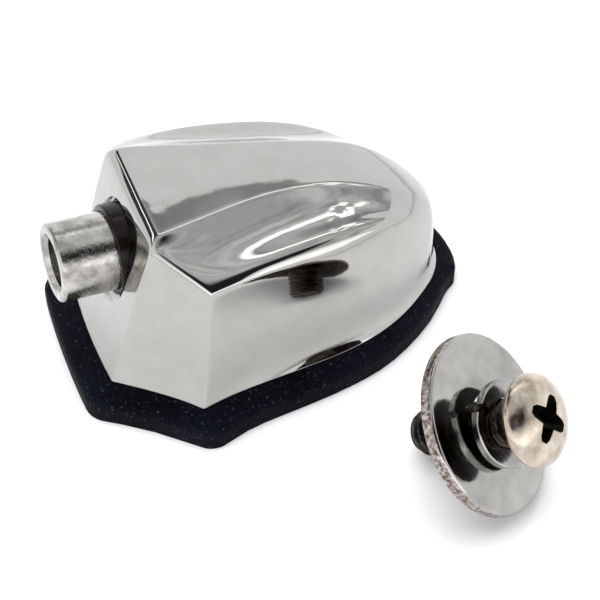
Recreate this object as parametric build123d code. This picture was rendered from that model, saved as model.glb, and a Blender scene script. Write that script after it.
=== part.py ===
from build123d import *
import os

# Single-ended drum lug: a hollow die-cast casing on a rubber gasket, a swivel nut for the
# tension rod, and the mounting screw with its two washers, lying loose beside the lug.
# Millimetres. Z is up, away from the drum shell, and z = 0 is the shell under the gasket.
# The nut points along -X. The origin is the mouth of the tapped hole for the mounting screw.

# ---- casing ----
GASKET_T = 3.0            # gasket thickness, so the casing starts at this height
WALL = 2.3                # casting wall
CREST_Z = 27.0            # height to which the walls are drawn before the top trims them
FRONT_X = -28.4           # middle of the front face at its foot
FRONT_X_CREST = -21.1     # middle of the front face at CREST_Z
FRONT_FOOT = (-28.0, 9.6)     # plan of the corner between front face and chamfer, at the foot
FRONT_CREST = (-20.7, 10.1)   # the same corner at CREST_Z
CHEEK_FOOT = (-18.6, 18.2)    # plan of the corner between chamfer and side, at the foot
CHEEK_CREST = (-15.1, 15.2)   # the same corner at CREST_Z
CHAMFER_HOLLOW = 0.55     # how far the chamfer face is hollowed
# plan of the side from behind the cheek corner to the tail, at the foot and at CREST_Z
SIDE_FOOT = [(-12.0, 16.9), (-5.0, 16.2), (2.0, 15.3), (8.0, 13.5), (13.0, 10.5), (17.2, 6.7)]
SIDE_CREST = [(-11.0, 14.9), (-4.6, 14.2), (2.0, 13.4), (7.6, 11.9), (12.2, 9.2), (15.8, 5.7)]
TAIL_FOOT = 20.5          # x of the tail's end at the foot
TAIL_CREST = 18.4         # x of the tail's end at CREST_Z

# Cross sections of the top: x, crease y, crease z, rim y, rim z. The middle panel lies between
# the two creases, and a shallow scoop falls from each crease to the rim of the side wall.
TOP_SECTIONS = [
    (-29.0, 11.5, 25.3, 18.4, 20.4),
    (-24.0, 9.9, 25.0, 17.6, 20.5),
    (-20.0, 8.9, 24.75, 16.8, 20.6),
    (-16.0, 8.0, 24.5, 16.0, 20.5),
    (-12.0, 6.9, 24.25, 15.4, 20.4),
    (-7.0, 5.6, 23.95, 15.0, 20.0),
    (-2.0, 4.9, 23.45, 14.7, 19.4),
    (2.5, 4.55, 22.6, 14.3, 18.7),
    (7.0, 4.45, 21.3, 13.7, 17.4),
    (11.0, 4.5, 19.7, 12.6, 15.6),
    (15.0, 4.4, 17.4, 10.4, 12.6),
    (18.0, 4.2, 14.4, 8.0, 9.0),
    (20.5, 4.0, 8.5, 6.5, 3.5),
]
PANEL_CROWN = 0.35        # how far the middle panel is crowned
SCOOP_DEPTH = 0.8         # how far the scoop is hollowed below the line from crease to rim
TOP_REACH = 24.0          # half width of the top before the walls trim it
TOP_FLOOR = -30.0         # bottom of the block under the top

# ---- nut, bush and opening ----
PIVOT = Vector(-19.0, 0, 16.1)    # centre of the nut's swivel
NUT_PITCH = 4.28          # the nut's tilt as it lies, outer end up, in degrees
NUT_YAW = 4.07            # the nut's turn as it lies, outer end towards -Y, in degrees
NUT_R = 5.0
NUT_OUT = 13.0            # from the swivel centre to the nut's outer end
NUT_IN = 7.0              # from the swivel centre to the nut's inner end
NUT_CHAMFER = 0.45
EAR_FRONT = 0.4           # from the swivel centre to the outer face of the ears
EAR_T = 3.0
EAR_SPAN = 16.0
EAR_H = 8.0
ROD_THREAD_R = 2.3        # minor radius of the tension-rod thread
ROD_LEAD_R = 3.3          # plain lead-in at the nut's mouth
ROD_LEAD_DEPTH = 3.0
BUSH_R = 5.8
BUSH_BORE_R = 5.03
BUSH_BACK = 2.2           # from the swivel centre to the bush's inner end
BUSH_FRONT = 5.8          # from the swivel centre to the bush's outer end
OPENING_R = 6.5           # opening in the casing's front wall
PAD_X = -20.45            # inner face of the thick pad round the opening
PAD_R = 9.0

# ---- boss and spring ----
BOSS_R = 5.5
TAPPED_R = 2.5            # minor radius of the M6 thread
TAPPED_DEPTH = 12.0
SEAT_X = -6.4             # face of the round seat on the boss that the spring stands on
SEAT_R = 4.6
PEG_R = 2.0
PEG_X = -7.6              # end of the peg inside the spring
SPRING_R = 3.5            # mean radius of the coil
SPRING_WIRE_R = 0.4
SPRING_FRONT = 7.5        # from the swivel centre to the coil's front end
SPRING_BACK = 12.2        # from the swivel centre to the coil's back end, just off its seat
SPRING_TURNS = 3.5

# ---- gasket ----
GASKET_FRONT_X = -32.1
GASKET_FRONT = (-31.6, 12.0)
GASKET_CHEEK = (-18.7, 22.6)
GASKET_SIDE = [(-13.3, 20.7), (-5.8, 19.6), (-0.6, 18.8), (5.6, 17.2), (10.5, 14.8), (15.8, 11.0), (20.2, 6.4)]
GASKET_TAIL = 22.8
GASKET_CORNER_R = 2.0
GASKET_HOLE_R = 6.2

# ---- mounting screw and washers, lying loose ----
SCREW_AT = Vector(10.77, -37.63, 9.16)     # point on the screw's axis inside the flat washer
SCREW_AXIS = Vector(0.480, -0.631, 0.609)  # the screw's axis, towards the head
SCREW_TIP = -10.9         # along the axis from SCREW_AT to the tip
SCREW_HEAD = 5.9          # along the axis from SCREW_AT to the underside of the head
SCREW_R = 2.95
SCREW_CHAMFER = 0.6
HEAD_R = 5.5
HEAD_H = 2.6              # low domed head
HEAD_EDGE_H = 0.5         # height of the head's straight side
RECESS_W = 1.5            # width of each arm of the cross recess
RECESS_SPAN = 6.2
RECESS_DEPTH = 2.0
LOCK_BACK = 1.15          # along the axis from SCREW_AT to the lock washer
LOCK_T = 1.5
LOCK_R = 5.2
LOCK_BORE_R = 3.08
LOCK_GAP = 0.9            # width of the split
LOCK_GAP_TURN = 150.0     # where the split lies round the screw, in degrees
FLAT_AT = Vector(10.63, -37.48, 9.42)      # middle of the washer's head-side face
FLAT_AXIS = Vector(0.561, -0.520, 0.645)   # the flat washer's own axis, towards the head
FLAT_T = 1.6
FLAT_R = 10.95
FLAT_BORE_R = 3.4
FLAT_EDGE_R = 0.3


def mirrored(points):
    """The same plan points on the other side of the lug."""
    return [(x, -y) for x, y in points]


def hollow_arc(start, end, depth):
    """A shallow arc between two plan points, bowed towards the lug's middle by depth."""
    a, b = Vector(*start), Vector(*end)
    along = (b - a).normalized()
    across = Vector(-along.Y, along.X)
    middle = (a + b) * 0.5
    if (middle + across).length > middle.length:
        across = -across
    return ThreePointArc(a, middle + across * depth, b)


def lug_plan(front_x, front, cheek, side, tail):
    """The lug's plan: front edge, two hollow chamfers, and the sides running back to the tail."""
    left = [cheek] + side
    with BuildSketch() as sketch:
        with BuildLine():
            ThreePointArc((front[0], -front[1]), (front_x, 0), front)
            hollow_arc(front, cheek, CHAMFER_HOLLOW)
            Spline(*left, (tail, 0), tangents=[Vector(1, -0.28), Vector(0, -1)])
            Spline((tail, 0), *reversed(mirrored(left)), tangents=[Vector(0, -1), Vector(-1, -0.28)])
            hollow_arc((cheek[0], -cheek[1]), (front[0], -front[1]), CHAMFER_HOLLOW)
        make_face()
    return sketch.sketch


def casing_plan(front_x, front, cheek, side, tail, inset):
    """The casing's plan at one height, inset from its outside."""
    front = (front[0] + inset, front[1] - inset * 0.4)
    cheek = (cheek[0] + inset * 0.3, cheek[1] - inset)
    side = [(x - inset * 0.2, y - inset) for x, y in side]
    return lug_plan(front_x + inset, front, cheek, side, tail - inset)


def casing_walls(inset):
    """Solid inside the casing's drafted walls, inset from their outside."""
    foot = casing_plan(FRONT_X, FRONT_FOOT, CHEEK_FOOT, SIDE_FOOT, TAIL_FOOT, inset)
    crest = casing_plan(FRONT_X_CREST, FRONT_CREST, CHEEK_CREST, SIDE_CREST, TAIL_CREST, inset)
    return loft([Pos(0, 0, GASKET_T) * foot, Pos(0, 0, CREST_Z) * crest], ruled=True)


def top_section(x, crease_y, crease_z, rim_y, rim_z, drop):
    """One cross section of the top, lowered by drop and closed far below the casing."""
    panel_z = crease_z - drop
    slope = (rim_z - crease_z) / (rim_y - crease_y)
    edge_z = rim_z - drop + slope * (TOP_REACH - rim_y)
    middle = ((crease_y + rim_y) / 2, (crease_z + rim_z) / 2 - SCOOP_DEPTH - drop)
    left = [(crease_y, panel_z), middle, (rim_y, rim_z - drop), (TOP_REACH, edge_z)]
    with BuildSketch(Plane(origin=(x, 0, 0), x_dir=(0, 1, 0), z_dir=(1, 0, 0))) as sketch:
        with BuildLine():
            ThreePointArc((-crease_y, panel_z), (0, panel_z + PANEL_CROWN), (crease_y, panel_z))
            Spline(*left)
            Polyline((TOP_REACH, edge_z), (TOP_REACH, TOP_FLOOR), (-TOP_REACH, TOP_FLOOR), (-TOP_REACH, edge_z))
            Spline(*[(-y, z) for y, z in reversed(left)])
        make_face()
    return sketch.sketch


def casing_top(drop):
    """Solid under the casing's top surface, lowered by drop."""
    return loft([top_section(*row, drop) for row in TOP_SECTIONS])


def rod(radius, low, high):
    """A cylinder along Z between two heights."""
    return Pos(0, 0, (low + high) / 2) * Cylinder(radius, high - low)


def along_x(radius, low, high):
    """A cylinder along X at the height of the swivel."""
    return Pos((low + high) / 2, 0, PIVOT.Z) * Rot(0, 90, 0) * Cylinder(radius, high - low)


def on_axis(point, axis):
    """The placement that takes +Z at the origin to an axis through a point."""
    return Plane(origin=point, z_dir=axis).location


def on_nut(shape):
    """Place a shape drawn along +Z from the swivel centre on the nut's axis as it lies."""
    return Pos(PIVOT.X, PIVOT.Y, PIVOT.Z) * Rot(0, 0, NUT_YAW) * Rot(0, -90 + NUT_PITCH, 0) * shape


def make_casing():
    cavity = casing_walls(WALL) & casing_top(WALL)
    body = (casing_walls(0) & casing_top(0)) - cavity
    body += (rod(BOSS_R, GASKET_T, CREST_Z) & cavity) + rod(BOSS_R, 0, GASKET_T + 1)
    body += along_x(SEAT_R, SEAT_X, 0) - rod(BOSS_R - 1, 0, CREST_Z)
    body += along_x(PEG_R, PEG_X, SEAT_X + 1)
    body += along_x(PAD_R, PAD_X - 3, PAD_X) & cavity
    body -= along_x(OPENING_R, PAD_X - 8, PAD_X + 0.5)
    body -= rod(TAPPED_R, -1, TAPPED_DEPTH)
    return body


def make_nut():
    shank = chamfer(rod(NUT_R, -NUT_IN, NUT_OUT).edges(), NUT_CHAMFER)
    ears = Pos(0, 0, EAR_FRONT - EAR_T / 2) * Box(EAR_H, EAR_SPAN, EAR_T)
    ears = fillet(ears.edges().filter_by(Axis.Z), 1.5)
    nut = shank + ears - rod(ROD_THREAD_R, -NUT_IN - 1, NUT_OUT + 1)
    return on_nut(nut - rod(ROD_LEAD_R, NUT_OUT - ROD_LEAD_DEPTH, NUT_OUT + 1))


def make_bush():
    ring = rod(BUSH_R, BUSH_BACK, BUSH_FRONT)
    ring = chamfer(ring.edges(), 0.25)
    return on_nut(ring - rod(BUSH_BORE_R, BUSH_BACK - 1, BUSH_FRONT + 1))


def make_spring():
    length = SPRING_BACK - SPRING_FRONT - 2 * SPRING_WIRE_R
    path = Helix(pitch=length / SPRING_TURNS, height=length, radius=SPRING_R)
    wire = sweep(Plane(origin=path @ 0, z_dir=path % 0) * Circle(SPRING_WIRE_R), path)
    coil = Rot(0, 90, 0) * (Pos(0, 0, SPRING_FRONT + SPRING_WIRE_R) * wire)
    return Pos(PIVOT.X, PIVOT.Y, PIVOT.Z) * Rot(0, 0, NUT_YAW) * coil


def make_gasket():
    plan = lug_plan(GASKET_FRONT_X, GASKET_FRONT, GASKET_CHEEK, GASKET_SIDE, GASKET_TAIL)
    sheet = extrude(plan, GASKET_T)
    corners = [e for e in sheet.edges().filter_by(Axis.Z) if e.center().X < -10]
    sheet = fillet(corners, GASKET_CORNER_R)
    return sheet - rod(GASKET_HOLE_R, -1, GASKET_T + 1)


def make_screw():
    shank = chamfer(rod(SCREW_R, SCREW_TIP, SCREW_HEAD + 1).edges().sort_by(Axis.Z)[0], SCREW_CHAMFER)
    top = SCREW_HEAD + HEAD_H
    shoulder = SCREW_HEAD + HEAD_EDGE_H
    with BuildSketch(Plane.XZ) as outline:
        with BuildLine():
            Polyline((0, top), (0, SCREW_HEAD), (HEAD_R, SCREW_HEAD), (HEAD_R, shoulder))
            Bezier((HEAD_R, shoulder), (HEAD_R, top - 0.3), (HEAD_R * 0.45, top), (0, top))
        make_face()
    screw = shank + revolve(outline.sketch, Axis.Z)
    for turn in (0, 90):
        arm = Rot(0, 0, turn) * Pos(0, 0, top + 1 - (RECESS_DEPTH + 1) / 2)
        screw -= arm * Box(RECESS_SPAN, RECESS_W, RECESS_DEPTH + 1)
    return on_axis(SCREW_AT, SCREW_AXIS) * screw


def make_lock_washer():
    ring = rod(LOCK_R, LOCK_BACK, LOCK_BACK + LOCK_T) - rod(LOCK_BORE_R, LOCK_BACK - 1, LOCK_BACK + LOCK_T + 1)
    split = Rot(0, 0, LOCK_GAP_TURN) * Pos(LOCK_R, 0, LOCK_BACK) * Rot(20, 0, 0) * Box(8, LOCK_GAP, 8)
    return on_axis(SCREW_AT, SCREW_AXIS) * (ring - split)


def make_flat_washer():
    disc = fillet(rod(FLAT_R, -FLAT_T, 0).edges(), FLAT_EDGE_R)
    return on_axis(FLAT_AT, FLAT_AXIS) * (disc - rod(FLAT_BORE_R, -FLAT_T - 1, 1))


PIECES = {
    "lug_casing": make_casing,
    "swivel_nut": make_nut,
    "nut_bush": make_bush,
    "nut_spring": make_spring,
    "gasket": make_gasket,
    "mounting_screw": make_screw,
    "spring_lock_washer": make_lock_washer,
    "flat_washer": make_flat_washer,
}

os.makedirs("parts", exist_ok=True)
for name, make in PIECES.items():
    piece = make()
    export_step(piece, f"parts/{name}.step")
    print(name, round(piece.volume, 1), len(piece.solids()))
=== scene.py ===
from math import cos, hypot, pi, radians, sin
import bmesh
import bpy
from mathutils import Matrix, Vector


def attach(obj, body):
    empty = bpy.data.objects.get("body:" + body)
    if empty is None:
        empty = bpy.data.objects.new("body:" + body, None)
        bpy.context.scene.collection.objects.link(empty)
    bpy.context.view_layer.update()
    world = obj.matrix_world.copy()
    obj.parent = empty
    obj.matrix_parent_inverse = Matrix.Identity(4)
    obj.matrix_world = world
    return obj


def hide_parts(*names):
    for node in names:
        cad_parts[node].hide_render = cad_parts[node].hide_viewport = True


# Single-ended drum lug: plated casing, swivel nut and bush, rubber gasket, and the loose
# mounting screw with its two washers. Lengths below are in millimetres, in the CAD's frame.

MM = 0.001
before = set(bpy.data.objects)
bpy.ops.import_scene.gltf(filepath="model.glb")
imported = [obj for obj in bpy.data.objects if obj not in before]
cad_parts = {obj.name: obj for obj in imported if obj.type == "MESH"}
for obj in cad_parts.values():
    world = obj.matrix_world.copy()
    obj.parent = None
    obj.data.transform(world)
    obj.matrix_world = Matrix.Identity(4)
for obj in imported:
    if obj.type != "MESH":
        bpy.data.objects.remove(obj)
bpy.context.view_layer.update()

# ---- casing ----
FOOT_Z = 3.0              # foot of the casing, on the gasket
WALL = 2.2
# Each line runs from the nose to the tail as x, half width, height.
CREASE = [(-20.3, 8.9, 24.6), (-15.0, 7.7, 24.4), (-10.0, 6.3, 24.1), (-5.0, 5.3, 23.8), (0.0, 4.7, 23.1),
          (5.0, 4.45, 21.9), (10.0, 4.6, 20.1), (14.0, 4.7, 17.9), (17.5, 3.2, 15.2)]
HUMP = [(-17.0, 15.1, 20.6), (-10.0, 14.4, 21.4), (-4.0, 13.5, 21.4), (2.0, 12.4, 20.9), (7.0, 11.0, 19.6),
        (10.0, 9.9, 17.9), (13.0, 8.6, 16.1), (16.9, 5.6, 12.6)]
RIM = [(-16.15, 16.0, 19.95), (-10.3, 15.2, 20.1), (-4.3, 14.55, 19.2), (1.7, 13.85, 17.8),
       (6.8, 12.5, 15.9), (11.0, 10.4, 13.9), (14.0, 8.5, 12.3), (16.4, 6.6, 11.2)]
FOOT = [(-18.6, 18.2, 3.0), (-15.3, 17.3, 3.0), (-11.9, 16.8, 3.0), (-5.7, 16.2, 3.0), (-0.5, 15.65, 3.0),
        (3.7, 14.9, 3.0), (6.8, 13.9, 3.0), (9.9, 12.5, 3.0), (13.4, 10.3, 3.0), (17.0, 7.2, 3.0)]
STATIONS = [0.0, 0.1, 0.22, 0.35, 0.49, 0.63, 0.76, 0.88, 1.0]   # how far along the lines each row lies
SCOOP_DIP = [0.15, 0.5, 0.9, 1.0, 0.9, 0.6, 0.35, 0.15, 0.0]     # depth of the scoop at each row
CROWN = 0.35              # crown of the middle panel
NOSE_PANEL = [(-20.45, 0.0, 24.95), (-20.4, 4.6, 24.85), (-20.3, 8.9, 24.6)]
NOSE_EDGE = [(-21.7, 0.0, 24.1), (-21.6, 5.0, 24.05), (-21.45, 9.9, 23.8)]
# The cavity's nose strip is wider, so that it doesn't fold through itself when it is drawn inwards.
CAVITY_NOSE_EDGE = [(-21.95, 0.0, 24.0), (-21.85, 5.0, 23.95), (-21.7, 10.0, 23.75)]
NOSE_FOOT = [(-28.4, 0.0, 3.0), (-28.3, 5.0, 3.0), (-28.0, 9.6, 3.0)]
CHEEK_EDGE = [(-19.9, 12.0, 22.75), (-17.1, 15.0, 20.75), (-16.15, 16.0, 19.95)]
CHEEK_FOOT = [(-24.0, 12.75, 3.0), (-20.3, 16.1, 3.0), (-18.6, 18.2, 3.0)]
TAIL_EDGE = [(17.6, 4.7, 13.2), (18.1, 3.5, 14.0), (18.4, 2.4, 14.4), (18.6, 1.2, 14.6), (18.65, 0.0, 14.7)]
TAIL_FOOT = [(18.6, 5.3, 3.0), (19.4, 4.0, 3.0), (20.0, 2.7, 3.0), (20.4, 1.35, 3.0), (20.5, 0.0, 3.0)]
GASKET_SIDE = [(-18.7, 22.6), (-13.3, 20.7), (-5.8, 19.6), (-0.6, 18.8), (5.6, 17.2), (10.5, 14.8),
               (15.8, 11.0), (20.2, 6.4)]   # x and half width of the gasket behind its cheeks
# Rows of the wall from foot to upper edge: share of the height, and how far the row is drawn in
# behind the straight line from foot to edge. The foot flares out, and the upper wall swells a little.
WALL_ROWS = [(0.0, 0.0), (0.06, 0.34), (0.14, 0.55), (0.28, 0.5), (0.5, 0.05), (0.72, -0.3), (1.0, 0.0)]
# How strongly the rows are drawn in, by x.
FLARE = [(-29.0, 0.5), (-23.0, 0.5), (-17.0, 0.6), (-9.0, 1.0), (0.0, 1.3), (7.0, 1.2), (14.0, 0.8),
         (21.0, 0.6)]
MIDDLE_X = -3.0           # x of the point that the rows are drawn in towards
OPENING_R = 6.45
OPENING_Z = 16.1

# ---- nut ----
PIVOT = Vector((-19.0, 0.0, 16.1))
NUT_PITCH = radians(4.28)     # the nut's tilt as it lies, outer end up
NUT_YAW = radians(4.07)       # the nut's turn as it lies, outer end towards -Y
NUT_AXIS = Vector((-cos(NUT_PITCH) * cos(NUT_YAW), -cos(NUT_PITCH) * sin(NUT_YAW), sin(NUT_PITCH)))
NUT_R = 5.0
NUT_IN, NUT_OUT = -7.0, 13.0  # the nut's ends along its axis from the pivot
LEAD_END = 9.9                # where the thread ends and the plain lead-in starts
BUSH_BORE_R, BUSH_R = 5.03, 5.8
BUSH_BACK, BUSH_FRONT = 2.2, 5.8
SPRING_R, SPRING_WIRE_R = 3.5, 0.4
SPRING_START, SPRING_LENGTH, SPRING_TURNS = 7.9, 3.9, 3.5

# ---- boss ----
BOSS_R, BOSS_TOP = 5.4, 20.5
TAPPED_DEPTH = 12.0

# ---- screw set ----
SCREW_AT = Vector((10.77, -37.63, 9.16))
SCREW_AXIS = Vector((0.480, -0.631, 0.609)).normalized()
FLAT_AT = Vector((10.63, -37.48, 9.42))
FLAT_AXIS = Vector((0.561, -0.520, 0.645)).normalized()
SCREW_TIP = -10.9         # along the screw's axis from SCREW_AT
HEAD_UNDER, HEAD_SHOULDER, HEAD_TOP, HEAD_R = 5.9, 6.35, 8.5, 5.5
CROSS_DEPTH = 2.1
CROSS_TURN = 28.0         # how far the cross recess is turned, in degrees
LOCK_LOW, LOCK_HIGH, LOCK_RISE = 1.17, 2.3, 0.33   # the lock washer's faces, and its climb round the split
LOCK_BORE_R, LOCK_R = 3.08, 5.2
LOCK_SPLIT = 120.0        # where the split of the lock washer lies, in degrees
FLAT_T, FLAT_BORE_R, FLAT_R = 1.6, 3.4, 10.95


# ---------------------------------------------------------------- mesh helpers

def curve_through(keys, x):
    """The smooth line through keys (x, y, z), read at x."""
    last = len(keys) - 2
    i = max(0, min(last, sum(1 for k in keys[1:-1] if k[0] <= x)))
    a, b = keys[i], keys[i + 1]
    before = keys[i - 1] if i else a
    after = keys[i + 2] if i < last else b
    t = (x - a[0]) / (b[0] - a[0])
    out = [x]
    for n in range(1, len(a)):
        slope_a = (b[n] - before[n]) / (b[0] - before[0])
        slope_b = (after[n] - a[n]) / (after[0] - a[0])
        span = b[0] - a[0]
        out.append((2 * t**3 - 3 * t**2 + 1) * a[n] + (t**3 - 2 * t**2 + t) * span * slope_a
                   + (3 * t**2 - 2 * t**3) * b[n] + (t**3 - t**2) * span * slope_b)
    return tuple(out)


def along(keys, share):
    """The point on the smooth line through keys at a share of its length in x."""
    return curve_through(keys, keys[0][0] + share * (keys[-1][0] - keys[0][0]))


def mix(a, b, share):
    return tuple(p + (q - p) * share for p, q in zip(a, b))


def to_object(name, mesh):
    made = bpy.data.objects.new(name, mesh)
    bpy.context.scene.collection.objects.link(made)
    return made


def from_bmesh(name, built, smooth_angle=None):
    """A new object in metres from a bmesh in millimetres."""
    mesh = bpy.data.meshes.new(name)
    bmesh.ops.scale(built, vec=(MM, MM, MM), verts=built.verts)
    built.to_mesh(mesh)
    built.free()
    if smooth_angle is not None:
        mesh.shade_smooth()
        mesh.set_sharp_from_angle(angle=radians(smooth_angle))
    return to_object(name, mesh)


def settle(piece, smooth_angle=None):
    """Apply every modifier on a piece."""
    bpy.context.view_layer.update()
    mesh = bpy.data.meshes.new_from_object(piece.evaluated_get(bpy.context.evaluated_depsgraph_get()))
    old = piece.data
    piece.modifiers.clear()
    piece.data = mesh
    bpy.data.meshes.remove(old)
    if smooth_angle is not None:
        mesh.shade_smooth()
        mesh.set_sharp_from_angle(angle=radians(smooth_angle))
    return piece


def cut(piece, cutter, operation="DIFFERENCE"):
    """Cut a piece with another one, which is used up."""
    change = piece.modifiers.new("cut", "BOOLEAN")
    change.operation = operation
    change.solver = "EXACT"
    change.object = cutter
    settle(piece)
    bpy.data.objects.remove(cutter)


def placed(axis, point):
    """The matrix that takes +Z at the origin to an axis through a point in millimetres."""
    turn = axis.to_track_quat("Z", "Y").to_matrix().to_4x4()
    return Matrix.Translation(point * MM) @ turn


def place(piece, axis, point):
    """Turn and move a piece drawn about +Z onto an axis through a point."""
    piece.data.transform(placed(axis, point))
    return piece


def lathe(name, profile, steps=96, closed=True):
    """A turned solid about Z from profile points (radius, height)."""
    built = bmesh.new()
    rings = []
    for radius, height in profile:
        if radius < 1e-6:
            rings.append([built.verts.new((0, 0, height))] * steps)
            continue
        turns = [2 * pi * k / steps for k in range(steps)]
        rings.append([built.verts.new((radius * cos(t), radius * sin(t), height)) for t in turns])
    count = len(rings)
    for i in range(count if closed else count - 1):
        a, b = rings[i], rings[(i + 1) % count]
        for k in range(steps):
            j = (k + 1) % steps
            corners = list(dict.fromkeys([a[k], a[j], b[j], b[k]]))
            if len(corners) > 2:
                built.faces.new(corners)
    bmesh.ops.recalc_face_normals(built, faces=built.faces)
    return from_bmesh(name, built, 28)


def round_corner(profile, index, radius, steps=5):
    """The profile with the corner at index replaced by an arc-like bend."""
    before = Vector(profile[index - 1])
    corner = Vector(profile[index])
    after = Vector(profile[(index + 1) % len(profile)])
    start = corner + (before - corner).normalized() * radius
    end = corner + (after - corner).normalized() * radius
    bend = []
    for k in range(steps + 1):
        t = k / steps
        bend.append(tuple((1 - t)**2 * start + 2 * t * (1 - t) * corner + t**2 * end))
    return profile[:index] + bend + profile[index + 1:]


def rounded(profile, radii):
    """The profile with corners rounded: radii maps corner index to radius."""
    for index in sorted(radii, reverse=True):
        profile = round_corner(profile, index, radii[index])
    return profile


def thread(name, low, high, minor, major, pitch, inside=False, steps=64):
    """A helical thread surface about Z, closed at both ends, or open when it lines a hole."""
    rows = int((high - low) / pitch * 10)
    built = bmesh.new()
    grid = []
    for r in range(rows + 1):
        z = low + (high - low) * r / rows
        ring = []
        for k in range(steps):
            phase = (z / pitch - k / steps) % 1.0
            rise = 1 - abs(2 * phase - 1)
            flat = min(1.0, max(0.0, (rise - 0.12) / 0.76))
            fade = min(1.0, (z - low) / pitch, (high - z) / pitch) if not inside else 1.0
            radius = minor + (major - minor) * (flat * fade if not inside else flat)
            turn = 2 * pi * k / steps
            ring.append(built.verts.new((radius * cos(turn), radius * sin(turn), z)))
        grid.append(ring)
    for a, b in zip(grid, grid[1:]):
        for k in range(steps):
            j = (k + 1) % steps
            built.faces.new([a[k], a[j], b[j], b[k]])
    if not inside:
        built.faces.new(list(reversed(grid[0])))
        built.faces.new(grid[-1])
    bmesh.ops.recalc_face_normals(built, faces=built.faces)
    if inside:
        bmesh.ops.reverse_faces(built, faces=built.faces)
    return from_bmesh(name, built, 35)


def join(name, *parts):
    """One object from several, keeping their shading and their own materials."""
    built = bmesh.new()
    materials = []
    for part in parts:
        own = list(part.data.materials)
        materials += [m for m in own if m not in materials]
        before = len(built.faces)
        built.from_mesh(part.data)
        built.faces.ensure_lookup_table()
        for face in built.faces[before:]:
            face.material_index = materials.index(own[min(face.material_index, len(own) - 1)])
        bpy.data.objects.remove(part)
    mesh = bpy.data.meshes.new(name)
    built.to_mesh(mesh)
    built.free()
    for material in materials:
        mesh.materials.append(material)
    return to_object(name, mesh)


def paint(piece, base, *others):
    """Give a piece its base material, and each other (material, chosen) on the faces it chooses."""
    piece.data.materials.append(base)
    for index, (material, chosen) in enumerate(others, 1):
        piece.data.materials.append(material)
        for face in piece.data.polygons:
            if chosen(face):
                face.material_index = index


def faces_down(face):
    return face.normal.z < -0.8


def faces_out(face):
    return abs(face.normal.z) < 0.6 and face.normal.dot(face.center) > 0


def faces_down_or_in(face):
    return faces_down(face) or (abs(face.normal.z) < 0.6 and face.normal.xy.dot(face.center.xy) < 0)


# ---------------------------------------------------------------- casing

class Cage:
    """Half of a symmetric control mesh, mirrored across y = 0 as it is built."""

    def __init__(self):
        self.built = bmesh.new()
        self.known = {}
        self.sharp = {}

    def point(self, place, side):
        key = (round(place[0], 3), round(place[1] * side, 3) + 0.0, round(place[2], 3))
        if key not in self.known:
            self.known[key] = self.built.verts.new(key)
        return self.known[key]

    def quad(self, *places):
        for side in (1, -1):
            corners = [self.point(p, side) for p in places]
            if side < 0:
                corners.reverse()
            self.built.faces.new(corners)

    def strip(self, first, second):
        for i in range(len(first) - 1):
            self.quad(first[i], first[i + 1], second[i + 1], second[i])

    def crease(self, places, weights):
        for i, (a, b) in enumerate(zip(places, places[1:])):
            for side in (1, -1):
                pair = frozenset((self.point(a, side), self.point(b, side)))
                self.sharp[pair] = weights[i] if isinstance(weights, list) else weights

    def finish(self):
        layer = self.built.edges.layers.float.new("crease_edge")
        for edge in self.built.edges:
            edge[layer] = self.sharp.get(frozenset(edge.verts), 0.0)
        bmesh.ops.recalc_face_normals(self.built, faces=self.built.faces)
        return self.built


def top_row(row):
    """The control points of one row of the top, from the middle out to the rim."""
    share = STATIONS[row]
    crease = along(CREASE, share)
    hump = along(HUMP, share)
    rim = along(RIM, share)
    middle = (crease[0] + 0.15, 0.0, crease[2] + CROWN * (1 - share))
    between = (crease[0] + 0.1, crease[1] * 0.52, crease[2] + 0.75 * CROWN * (1 - share))
    scoop = []
    for part in (0.36, 0.7):
        x, y, z = mix(crease, hump, part)
        scoop.append((x, y, z - SCOOP_DIP[row] * (1.0 if part < 0.5 else 0.85)))
    return [middle, between, crease] + scoop + [hump, rim]


def drawn_in(place, inset):
    """The point moved level towards the middle of the casing, by more at the nose and the tail."""
    x, y, z = place
    inset *= curve_through(FLARE, x)[1]
    reach = hypot(x - MIDDLE_X, y)
    return (MIDDLE_X + (x - MIDDLE_X) * (1 - inset / reach), y * (1 - inset / reach), z)


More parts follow.
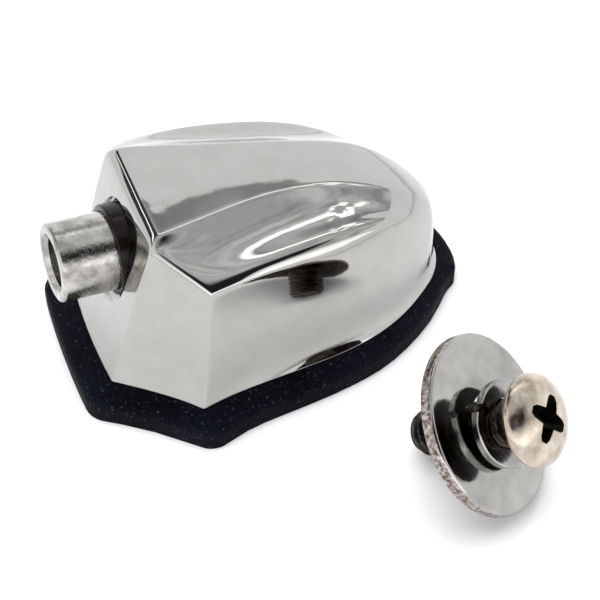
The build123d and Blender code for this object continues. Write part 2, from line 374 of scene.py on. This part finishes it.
def casing_cage(nose_edge=NOSE_EDGE):
    cage = Cage()
    front = NOSE_PANEL + CHEEK_EDGE
    rows = [front[:3] + [nose_edge[2]] + CHEEK_EDGE]
    rows += [top_row(n) for n in range(1, len(STATIONS) - 1)]
    crease_end = TAIL_EDGE[2]
    last_rim = RIM[-1]
    rows.append([TAIL_EDGE[4], TAIL_EDGE[3], crease_end, TAIL_EDGE[1], TAIL_EDGE[0], HUMP[-1], last_rim])
    # front strip, then the top from row to row
    cage.strip(nose_edge, NOSE_PANEL)
    for ahead, behind in zip(rows, rows[1:]):
        cage.strip(ahead, behind)
    # upper edge and foot of the wall, all the way round
    upper = nose_edge + CHEEK_EDGE + [row[6] for row in rows[1:]]
    upper += reversed(rows[-1][:6])
    side_foot = [along(FOOT, share) for share in STATIONS[1:]]
    tail_foot = [(17.8, 6.3, 3.0)] + TAIL_FOOT
    foot = NOSE_FOOT + CHEEK_FOOT + side_foot + tail_foot
    wall = [[drawn_in(mix(a, b, share), inset) for a, b in zip(foot, upper)] for share, inset in WALL_ROWS]
    for lower, higher in zip(wall, wall[1:]):
        cage.strip(lower, higher)
    # underside, across to the middle line
    middle = [(x, 0.0, FOOT_Z) for x, y, z in foot]
    for i in range(len(foot) - 1):
        places = [foot[i + 1], foot[i], middle[i], middle[i + 1]]
        places = list(dict.fromkeys((round(p[0], 3), round(p[1], 3), p[2]) for p in places))
        if len(places) > 2:
            cage.quad(*places)
    # sharpness of the edges
    fade = [0.52, 0.52, 0.5, 0.48, 0.45, 0.38, 0.25, 0.1]
    cage.crease(nose_edge, 0.3)
    cage.crease(NOSE_PANEL, 0.4)
    cage.crease([NOSE_PANEL[2], nose_edge[2]], 0.4)
    cage.crease([nose_edge[2]] + CHEEK_EDGE, 0.45)
    cage.crease([row[2] for row in rows], fade)
    cage.crease([row[6] for row in rows], [0.45, 0.45, 0.42, 0.36, 0.3, 0.2, 0.0, 0.0])
    cage.crease([level[2] for level in wall], 0.55)
    cage.crease([level[5] for level in wall], 0.52)
    cage.crease(foot, 0.8)
    return cage.finish()


def make_cavity():
    """The hollow inside the casing: its outside drawn in by the wall and run out through the foot."""
    built = casing_cage(CAVITY_NOSE_EDGE)
    built.normal_update()
    inward = {v: v.co - v.normal * WALL * 1.15 for v in built.verts}
    for vert, place in inward.items():
        low = vert.co.z < FOOT_Z + 0.1
        vert.co = place
        if low:
            vert.co.z = FOOT_Z - 2.0
    cavity = from_bmesh("cavity", built)
    smooth = cavity.modifiers.new("smooth", "SUBSURF")
    smooth.levels = 2
    return settle(cavity)


def make_casing():
    casing = from_bmesh("casing", casing_cage())
    smooth = casing.modifiers.new("smooth", "SUBSURF")
    smooth.levels = 4
    settle(casing, 50)
    whole = casing.data.copy()
    cut(casing, make_cavity())
    opening = lathe("opening", [(0, 0), (OPENING_R, 0), (OPENING_R, 16), (0, 16)])
    place(opening, Vector((1, 0, 0)), Vector((-35, 0, OPENING_Z)))
    cut(casing, opening)
    keep_shading(casing, whole)
    return casing


def keep_shading(piece, whole):
    """Give the cut piece the smooth shading of the whole surface it was cut from."""
    source = to_object("whole", whole)
    copy = piece.modifiers.new("shading", "DATA_TRANSFER")
    copy.object = source
    copy.use_loop_data = True
    copy.data_types_loops = {"CUSTOM_NORMAL"}
    copy.loop_mapping = "POLYINTERP_NEAREST"
    copy.max_distance = 0.05 * MM
    copy.use_max_distance = True
    settle(piece)
    bpy.data.objects.remove(source)


def make_boss():
    """The post cast inside the casing, with the tapped hole for the mounting screw."""
    outside = rounded([(2.75, 0.0), (BOSS_R, 0.0), (BOSS_R, BOSS_TOP), (2.75, BOSS_TOP)], {1: 0.5})
    post = lathe("post", outside, 64)
    lining = thread("lining", 0.0, TAPPED_DEPTH, 2.5, 2.78, 1.0, inside=True)
    paint(post, plating)
    # The tapped hole is lined with the dark steel, as painted shade inside the bore.
    paint(lining, dark_thread_and_shade_steel)
    return join("casing_boss", post, lining)


def make_nut():
    mouth = [(3.75, NUT_OUT), (3.35, 12.3), (3.3, 10.2), (2.8, 9.8)]
    outside = rounded([(2.8, NUT_IN), (NUT_R, NUT_IN), (NUT_R, NUT_OUT)] + mouth, {1: 0.5, 2: 0.55, 3: 0.2})
    shank = lathe("shank", outside, 128)
    lining = thread("lining", NUT_IN, LEAD_END, 2.3, 2.82, 1.06, inside=True)
    built = bmesh.new()
    bmesh.ops.create_cube(built, size=1.0, matrix=Matrix.Diagonal((8.0, 16.0, 3.0, 1.0)))
    bmesh.ops.translate(built, vec=(0, 0, -1.1), verts=built.verts)
    bmesh.ops.bevel(built, geom=built.edges[:], offset=0.5, segments=3, profile=0.5, affect="EDGES")
    ears = from_bmesh("ears", built, 40)
    paint(shank, nut_steel)
    paint(ears, nut_steel)
    # The nut's threaded bore gets the dark steel, as painted shade inside the bore.
    paint(lining, dark_thread_and_shade_steel)
    nut = join("nut", shank, ears, lining)
    return place(nut, NUT_AXIS, PIVOT)


def make_bush():
    ring = [(BUSH_BORE_R, BUSH_BACK), (BUSH_R, BUSH_BACK), (BUSH_R, BUSH_FRONT), (BUSH_BORE_R, BUSH_FRONT)]
    ring = rounded(ring, {1: 0.25, 2: 0.3, 3: 0.12})
    bush = lathe("bush", ring, 128)
    return place(bush, NUT_AXIS, PIVOT)


def sweep_ring(name, section, start, end, rise, steps, turned=0.0):
    """A solid swept round Z from one angle to another, climbing by rise, with closed ends."""
    built = bmesh.new()
    rings = []
    for n in range(steps + 1):
        angle = start + (end - start) * n / steps
        lift = rise * n / steps
        rings.append([built.verts.new((r * cos(angle), r * sin(angle), z + lift)) for r, z in section])
    count = len(section)
    for a, b in zip(rings, rings[1:]):
        for k in range(count):
            built.faces.new([a[k], a[(k + 1) % count], b[(k + 1) % count], b[k]])
    built.faces.new(rings[0])
    built.faces.new(list(reversed(rings[-1])))
    bmesh.ops.recalc_face_normals(built, faces=built.faces)
    return from_bmesh(name, built, 35)


def make_spring():
    turns = [2 * pi * k / 12 for k in range(12)]
    circle = [(SPRING_R + SPRING_WIRE_R * cos(t), SPRING_START + SPRING_WIRE_R * sin(t)) for t in turns]
    spring = sweep_ring("spring", circle, 0.0, 2 * pi * SPRING_TURNS, SPRING_LENGTH, 210)
    back = Vector((cos(NUT_YAW), sin(NUT_YAW), 0.0))
    return place(spring, back, PIVOT)


def make_lock_washer():
    section = [(LOCK_BORE_R, LOCK_LOW), (LOCK_R, LOCK_LOW), (LOCK_R, LOCK_HIGH), (LOCK_BORE_R, LOCK_HIGH)]
    section = rounded(section, {0: 0.15, 1: 0.3, 2: 0.3, 3: 0.15})
    split = radians(LOCK_SPLIT)
    washer = sweep_ring("lock_washer", section, split + 0.1, split + 2 * pi - 0.1, LOCK_RISE, 140)
    # Its back face and bore get the near-black steel, as painted shade between the washers and the head.
    paint(washer, spring_steel, (painted_shade_black, faces_down_or_in))
    return place(washer, SCREW_AXIS, SCREW_AT)


def make_flat_washer():
    disc = [(FLAT_BORE_R, -FLAT_T), (FLAT_R, -FLAT_T), (FLAT_R, 0.0), (FLAT_BORE_R, 0.0)]
    washer = lathe("washer", rounded(disc, {0: 0.2, 1: 0.35, 2: 0.45, 3: 0.25}), 160)
    # Its back face gets the dark steel, as painted shade under the tilted washer; the rim keeps its worn
    # finish.
    paint(washer, washer_steel, (worn_rim, faces_out), (dark_thread_and_shade_steel, faces_down))
    return place(washer, FLAT_AXIS, FLAT_AT)


def cross_cutter(top, depth):
    """A tapered four-armed recess for a cross-point driver."""
    built = bmesh.new()
    levels = []
    sizes = [(top + 0.6, 3.35, 0.86), (top - depth * 0.55, 2.45, 0.68), (top - depth, 1.3, 0.45)]
    for z, reach, half in sizes:   # height, reach of an arm and half its width
        outline = []
        for arm in range(4):
            turn = Matrix.Rotation(arm * pi / 2, 3, "Z")
            for x, y in ((half * 1.25, -half * 1.25), (reach * 0.8, -half), (reach, -half * 0.55),
                         (reach, half * 0.55), (reach * 0.8, half)):
                outline.append(built.verts.new(turn @ Vector((x, y, z))))
        levels.append(outline)
    count = len(levels[0])
    for a, b in zip(levels, levels[1:]):
        for k in range(count):
            built.faces.new([a[k], a[(k + 1) % count], b[(k + 1) % count], b[k]])
    built.faces.new(levels[0])
    built.faces.new(list(reversed(levels[-1])))
    bmesh.ops.recalc_face_normals(built, faces=built.faces)
    return from_bmesh("cross", built)


def make_screw():
    dome = []
    for n in range(25):
        turn = n / 24 * pi / 2
        height = HEAD_SHOULDER + (HEAD_TOP - HEAD_SHOULDER) * sin(turn) ** 1.15
        dome.append((HEAD_R * cos(turn) ** 0.82, height))
    dome[-1] = (0.0, HEAD_TOP)
    edge = [(0.0, HEAD_UNDER), (HEAD_R - 0.35, HEAD_UNDER), (HEAD_R - 0.1, HEAD_UNDER + 0.12),
            (HEAD_R, HEAD_UNDER + 0.4)]
    head = lathe("head", edge + dome, 128, closed=False)
    cross = cross_cutter(HEAD_TOP, CROSS_DEPTH)
    # The head's underside and the faces of the cross recess get the near-black steel, as painted shade.
    paint(head, screw_nickel, (painted_shade_black, faces_down))
    paint(cross, screw_nickel, (painted_shade_black, lambda face: True))
    cross.matrix_world = Matrix.Rotation(radians(CROSS_TURN), 4, "Z")
    cut(head, cross)
    head.data.set_sharp_from_angle(angle=radians(35))
    shank = thread("shank", SCREW_TIP, HEAD_UNDER, 2.42, 2.94, 1.0)
    paint(shank, dark_thread_and_shade_steel)
    screw = join("screw", head, shank)
    return place(screw, SCREW_AXIS, SCREW_AT)


def make_gasket():
    built = bmesh.new()
    half = [(-32.1, 0.0), (-32.05, 4.0), (-31.9, 8.0), (-31.6, 12.0)]
    half += [(-28.2, 14.3), (-24.7, 17.0), (-21.5, 20.0)]
    half += [curve_through(GASKET_SIDE, -18.7 + 38.9 * n / 16)[:2] for n in range(17)]
    tail = [(20.2 + 2.6 * sin(turn), 6.4 * cos(turn) ** 0.9) for turn in (0.25, 0.5, 0.8, 1.1, 1.35)]
    half += tail + [(22.8, 0.0)]
    outline = half + [(x, -y) for x, y in reversed(half[1:-1])]
    face = built.faces.new([built.verts.new((x, y, 0.0)) for x, y in outline])
    raised = bmesh.ops.extrude_face_region(built, geom=[face])
    lifted = [v for v in raised["geom"] if isinstance(v, bmesh.types.BMVert)]
    bmesh.ops.translate(built, vec=(0, 0, FOOT_Z), verts=lifted)
    bmesh.ops.recalc_face_normals(built, faces=built.faces)
    corners = [e for e in built.edges
               if abs(e.verts[0].co.z - e.verts[1].co.z) > 1 and e.calc_face_angle() > radians(24)]
    bmesh.ops.bevel(built, geom=corners, offset=1.6, segments=6, profile=0.5, affect="EDGES")
    upper = [e for e in built.edges if min(v.co.z for v in e.verts) > FOOT_Z - 0.01]
    bmesh.ops.bevel(built, geom=upper, offset=1.0, segments=5, profile=0.5, affect="EDGES")
    gasket = from_bmesh("gasket_sheet", built, 30)
    hole = lathe("hole", [(0, -1), (6.2, -1), (6.2, 5), (0, 5)], 64)
    cut(gasket, hole)
    gasket.data.set_sharp_from_angle(angle=radians(30))
    return gasket


# ---------------------------------------------------------------- materials

def shader(name, **sockets):
    """A new node material with its Principled shader, whose plain values are set here."""
    material = bpy.data.materials.new(name)
    material.use_nodes = True
    principled = material.node_tree.nodes["Principled BSDF"]
    for socket, value in sockets.items():
        principled.inputs[socket.replace("_", " ")].default_value = value
    return material, principled


def noise(tree, scale, detail=3.0, stretch=(1, 1, 1), kind="ShaderNodeTexNoise"):
    """A noise over the piece's own coordinates, with scale in waves a millimetre."""
    place = tree.nodes.new("ShaderNodeTexCoord")
    spread = tree.nodes.new("ShaderNodeMapping")
    spread.inputs["Scale"].default_value = [1000 * s for s in stretch]
    texture = tree.nodes.new(kind)
    texture.inputs["Scale"].default_value = scale
    if "Detail" in texture.inputs:
        texture.inputs["Detail"].default_value = detail
    tree.links.new(place.outputs["Object"], spread.inputs["Vector"])
    tree.links.new(spread.outputs["Vector"], texture.inputs["Vector"])
    return texture.outputs["Fac"] if "Fac" in texture.outputs else texture.outputs["Distance"]


def span(tree, value, low, high, out_low, out_high):
    """value mapped from low..high to out_low..out_high, clamped."""
    node = tree.nodes.new("ShaderNodeMapRange")
    for socket, number in zip(("From Min", "From Max", "To Min", "To Max"), (low, high, out_low, out_high)):
        node.inputs[socket].default_value = number
    tree.links.new(value, node.inputs["Value"])
    return node.outputs["Result"]


def blend_colours(tree, share, first, second):
    node = tree.nodes.new("ShaderNodeMix")
    node.data_type = "RGBA"
    node.inputs["A"].default_value = (*first, 1.0)
    node.inputs["B"].default_value = (*second, 1.0)
    tree.links.new(share, node.inputs["Factor"])
    return node.outputs["Result"]


def bump(tree, height, depth, onto=None):
    """A bump of depth millimetres from a height between 0 and 1."""
    node = tree.nodes.new("ShaderNodeBump")
    node.inputs["Distance"].default_value = depth * MM
    tree.links.new(height, node.inputs["Height"])
    if onto is not None:
        tree.links.new(onto, node.inputs["Normal"])
    return node.outputs["Normal"]


def plating_material():
    material, principled = shader("mirror_plating", Metallic=1.0)
    tree = material.node_tree
    wave = noise(tree, 0.16, 2.0)
    cloud = noise(tree, 0.35, 4.0)
    fine = noise(tree, 3.0, 5.0)
    tone = blend_colours(tree, span(tree, cloud, 0.3, 0.7, 0, 1), (0.385, 0.377, 0.362), (0.415, 0.407, 0.392))
    tree.links.new(tone, principled.inputs["Base Color"])
    tree.links.new(span(tree, fine, 0.35, 0.75, 0.035, 0.075), principled.inputs["Roughness"])
    tree.links.new(bump(tree, fine, 0.0012, bump(tree, wave, 0.06)), principled.inputs["Normal"])
    return material


def steel_material(name, dark, light, rough, grain, depth, stretch=(1, 1, 1), wear=0.5):
    """Plated steel: cloudy tone, roughness that follows the grain, and small pits."""
    material, principled = shader(name, Metallic=1.0)
    tree = material.node_tree
    cloud = noise(tree, wear, 6.0)
    fine = noise(tree, grain, 6.0, stretch)
    pits = noise(tree, grain * 0.8, stretch=(1, 1, 1), kind="ShaderNodeTexVoronoi")
    tree.links.new(blend_colours(tree, span(tree, cloud, 0.35, 0.68, 0, 1), dark, light),
                   principled.inputs["Base Color"])
    tree.links.new(span(tree, fine, 0.3, 0.7, rough[0], rough[1]), principled.inputs["Roughness"])
    pitted = bump(tree, span(tree, pits, 0.05, 0.3, 0, 1), depth)
    tree.links.new(bump(tree, fine, depth, pitted), principled.inputs["Normal"])
    return material


def rubber_material():
    material, principled = shader("gasket_rubber", Specular_IOR_Level=0.05)
    tree = material.node_tree
    speck = noise(tree, 2.4, 2.0)
    cloud = noise(tree, 0.12, 3.0)
    share = span(tree, cloud, 0.3, 0.7, 0, 1)
    base = blend_colours(tree, share, (0.0012, 0.0014, 0.003), (0.004, 0.005, 0.009))
    tint = tree.nodes.new("ShaderNodeMix")
    tint.data_type = "RGBA"
    tint.inputs["B"].default_value = (0.04, 0.045, 0.055, 1.0)
    tree.links.new(span(tree, speck, 0.62, 0.72, 0, 0.8), tint.inputs["Factor"])
    tree.links.new(base, tint.inputs["A"])
    tree.links.new(tint.outputs["Result"], principled.inputs["Base Color"])
    tree.links.new(span(tree, speck, 0.3, 0.7, 0.5, 0.75), principled.inputs["Roughness"])
    tree.links.new(bump(tree, speck, 0.09), principled.inputs["Normal"])
    return material


def nylon_material():
    material, principled = shader("black_nylon", Specular_IOR_Level=0.15)
    tree = material.node_tree
    fine = noise(tree, 2.5, 3.0)
    tree.links.new(blend_colours(tree, fine, (0.002, 0.0014, 0.0012), (0.008, 0.005, 0.004)),
                   principled.inputs["Base Color"])
    tree.links.new(span(tree, fine, 0.3, 0.7, 0.12, 0.25), principled.inputs["Roughness"])
    tree.links.new(bump(tree, fine, 0.01), principled.inputs["Normal"])
    return material


# ---------------------------------------------------------------- the pieces and what they ride on

def finish_piece(piece, name, material, body, slot_name, *nodes):
    piece.name = name
    piece.data.name = name
    if material is not None:
        piece.data.materials.clear()
        piece.data.materials.append(material)
    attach(piece, body)
    if nodes:
        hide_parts(*nodes)


plating = plating_material()
nut_steel = steel_material("pitted_nut_steel", (0.24, 0.23, 0.215), (0.52, 0.505, 0.48),
                           (0.14, 0.3), 3.2, 0.02)
screw_nickel = steel_material("worn_nickel", (0.38, 0.32, 0.26), (0.62, 0.55, 0.47),
                              (0.14, 0.28), 1.6, 0.008)
washer_steel = steel_material("polished_washer", (0.33, 0.325, 0.31), (0.40, 0.39, 0.37),
                              (0.06, 0.13), 2.2, 0.004)
spring_steel = steel_material("bright_spring", (0.28, 0.27, 0.26), (0.42, 0.41, 0.40),
                              (0.1, 0.2), 2.0, 0.006)
# Dark steel: the colour of the screw's thread, and painted shade inside the threaded bores and on the flat
# washer's back face.
dark_thread_and_shade_steel = steel_material("dark_thread_and_painted_shade", (0.02, 0.015, 0.012), (0.085, 0.07, 0.06),
                            (0.2, 0.4), 2.5, 0.01)
# Near-black steel that is painted shade: it goes in the cross recess, under the screw head, and on the lock
# washer's back face and bore.
painted_shade_black = steel_material("painted_shade_black", (0.008, 0.007, 0.006), (0.03, 0.026, 0.022),
                              (0.3, 0.5), 2.0, 0.01)
worn_rim = steel_material("worn_rim", (0.09, 0.045, 0.035), (0.5, 0.475, 0.45),
                          (0.1, 0.22), 2.2, 0.01, wear=2.2)
rubber = rubber_material()
nylon = nylon_material()

finish_piece(make_casing(), "casing_shell", plating, "lug", "plated_casing", "lug_casing")
finish_piece(make_boss(), "casing_boss", None, "lug", "plated_casing")
finish_piece(make_gasket(), "gasket_sheet", rubber, "lug", "gasket_rubber", "gasket")
bpy.data.objects["gasket_sheet"].visible_glossy = False   # so the plating mirrors the floor beyond it
finish_piece(make_nut(), "nut_shank", None, "nut", "nut_steel", "swivel_nut")
finish_piece(make_bush(), "bush_ring", nylon, "nut", "black_nylon", "nut_bush")
finish_piece(make_spring(), "spring_coil", spring_steel, "nut_yaw", "spring_steel", "nut_spring")
finish_piece(make_screw(), "screw_cross_head", None, "screw", "screw_nickel", "mounting_screw")
finish_piece(make_lock_washer(), "split_washer", None, "lock_washer", "spring_steel", "spring_lock_washer")
finish_piece(make_flat_washer(), "wide_washer", None, "flat_washer", "washer_steel", "flat_washer")


# ---------------------------------------------------------------- room, light and camera

CEILING_EDGE = 1.04       # where the dull ceiling gives way to the bright back wall
TENT = 1.33               # brightness of the tent all round
LAMP_AT = (-60, 60, 450)
LAMP_SIZE = (460, 460)
LAMP_POWER = 2.1
AZIMUTH, ELEVATION, ROLL = radians(-21.03), radians(44.32), radians(0.18)
CAMERA_DISTANCE = 205.6
CAMERA_TARGET = Vector((1.06, 0.0, -1.41))


def make_floor():
    built = bmesh.new()
    bmesh.ops.create_grid(built, x_segments=1, y_segments=1, size=1500)
    floor = from_bmesh("floor", built)
    floor.location.z = -0.02 * MM
    material, principled = shader("floor", Base_Color=(0.92, 0.92, 0.925, 1.0), Roughness=0.6)
    floor.data.materials.append(material)


def make_light(name, place, aim, size, power):
    """A soft box: a rectangular lamp at place, facing aim, in millimetres, and not mirrored itself."""
    lamp = bpy.data.lights.new(name, "AREA")
    lamp.shape = "RECTANGLE"
    lamp.size, lamp.size_y = size[0] * MM, size[1] * MM
    lamp.energy = power
    holder = bpy.data.objects.new(name, lamp)
    bpy.context.scene.collection.objects.link(holder)
    holder.location = Vector(place) * MM
    holder.visible_glossy = False
    holder.rotation_euler = (Vector(aim) - Vector(place)).to_track_quat("-Z", "Y").to_euler()


def window(tree, value, low, high, soft):
    """1 while value is between low and high, with soft edges."""
    rise = span(tree, value, low - soft, low + soft, 0, 1)
    fall = span(tree, value, high - soft, high + soft, 1, 0)
    return maths(tree, "MULTIPLY", rise, fall)


def pane(tree, first, first_limits, second, second_limits):
    """1 where both values lie inside their own low, high and softness."""
    return maths(tree, "MULTIPLY", window(tree, first, *first_limits), window(tree, second, *second_limits))


def maths(tree, operation, *values):
    node = tree.nodes.new("ShaderNodeMath")
    node.operation = operation
    for socket, value in zip(node.inputs, values):
        if isinstance(value, (int, float)):
            socket.default_value = value
        else:
            tree.links.new(value, socket)
    return node.outputs["Value"]


def patch(tree, level, share, brightness):
    """level, changed to brightness where share is 1."""
    change = maths(tree, "SUBTRACT", brightness, level)
    return maths(tree, "MULTIPLY_ADD", change, share, level)


def make_world():
    """A light tent: bright all round, a duller ceiling with a strip lamp, a dark opening in front."""
    world = bpy.data.worlds.new("studio")
    bpy.context.scene.world = world
    world.use_nodes = True
    tree = world.node_tree
    background = tree.nodes["Background"]
    place = tree.nodes.new("ShaderNodeTexCoord").outputs["Generated"]
    parts = tree.nodes.new("ShaderNodeSeparateXYZ")
    tree.links.new(place, parts.inputs["Vector"])
    height = maths(tree, "MAXIMUM", parts.outputs["Z"], 0.04)
    across = maths(tree, "DIVIDE", parts.outputs["X"], height)
    depth = maths(tree, "DIVIDE", parts.outputs["Y"], height)
    ripple = tree.nodes.new("ShaderNodeTexNoise")
    ripple.inputs["Scale"].default_value = 3.0
    ripple.inputs["Detail"].default_value = 2.0
    tree.links.new(place, ripple.inputs["Vector"])
    wavy = maths(tree, "MULTIPLY_ADD", maths(tree, "SUBTRACT", ripple.outputs["Fac"], 0.5), 0.35, depth)
    fold = tree.nodes.new("ShaderNodeTexNoise")
    fold.inputs["Scale"].default_value = 7.0
    fold.inputs["Detail"].default_value = 4.0
    tree.links.new(place, fold.inputs["Vector"])
    ceiling = pane(tree, wavy, (-1.5, CEILING_EDGE, 0.015), across, (-0.5, 2.6, 0.05))
    dull = maths(tree, "MULTIPLY", span(tree, fold.outputs["Fac"], 0.35, 0.65, 0.55, 1.15),
                 span(tree, wavy, 0.6, CEILING_EDGE, 1.0, 0.55))
    crumple = window(tree, fold.outputs["Fac"], 0.44, 0.56, 0.02)
    tube = pane(tree, depth, (0.44, 0.56, 0.03), across, (-0.4, 1.4, 0.1))
    flash = pane(tree, wavy, (0.36, 0.72, 0.04), across, (0.72, 1.12, 0.04))
    opening = pane(tree, depth, (-1.45, -0.45, 0.1), across, (-0.8, 1.1, 0.12))
    front = pane(tree, depth, (-7.0, -2.1, 0.5), across, (-7.0, 7.0, 0.5))
    side = pane(tree, depth, (0.3, 2.2, 0.1), across, (-1.0, -0.8, 0.04))
    gap = pane(tree, depth, (0.2, 2.4, 0.1), across, (-1.8, -0.1, 0.03))
    level = patch(tree, TENT, ceiling, dull)
    level = patch(tree, level, tube, 2.9)
    level = patch(tree, level, flash, span(tree, crumple, 0.0, 1.0, 0.8, 2.9))
    level = patch(tree, level, gap, 0.08)
    level = patch(tree, level, side, 2.9)
    level = patch(tree, level, front, 2.5)
    level = patch(tree, level, opening, 0.03)
    background.inputs["Color"].default_value = (0.985, 0.99, 1.0, 1.0)
    tree.links.new(level, background.inputs["Strength"])


def make_camera():
    back = Vector((sin(AZIMUTH) * cos(ELEVATION), -cos(AZIMUTH) * cos(ELEVATION), sin(ELEVATION)))
    lens = bpy.data.cameras.new("camera")
    lens.lens = 90.0
    lens.sensor_width = 36.0
    lens.clip_start = 0.005
    camera = bpy.data.objects.new("camera", lens)
    bpy.context.scene.collection.objects.link(camera)
    camera.location = (CAMERA_TARGET + back * CAMERA_DISTANCE) * MM
    aimed = (-back).to_track_quat("-Z", "Y").to_matrix()
    camera.rotation_euler = (aimed @ Matrix.Rotation(ROLL, 3, "Z")).to_euler()
    bpy.context.scene.camera = camera


make_floor()
make_world()
make_light("floor_box", LAMP_AT, (0, 0, 0), LAMP_SIZE, LAMP_POWER)
make_camera()
bpy.context.scene.view_settings.view_transform = "Standard"
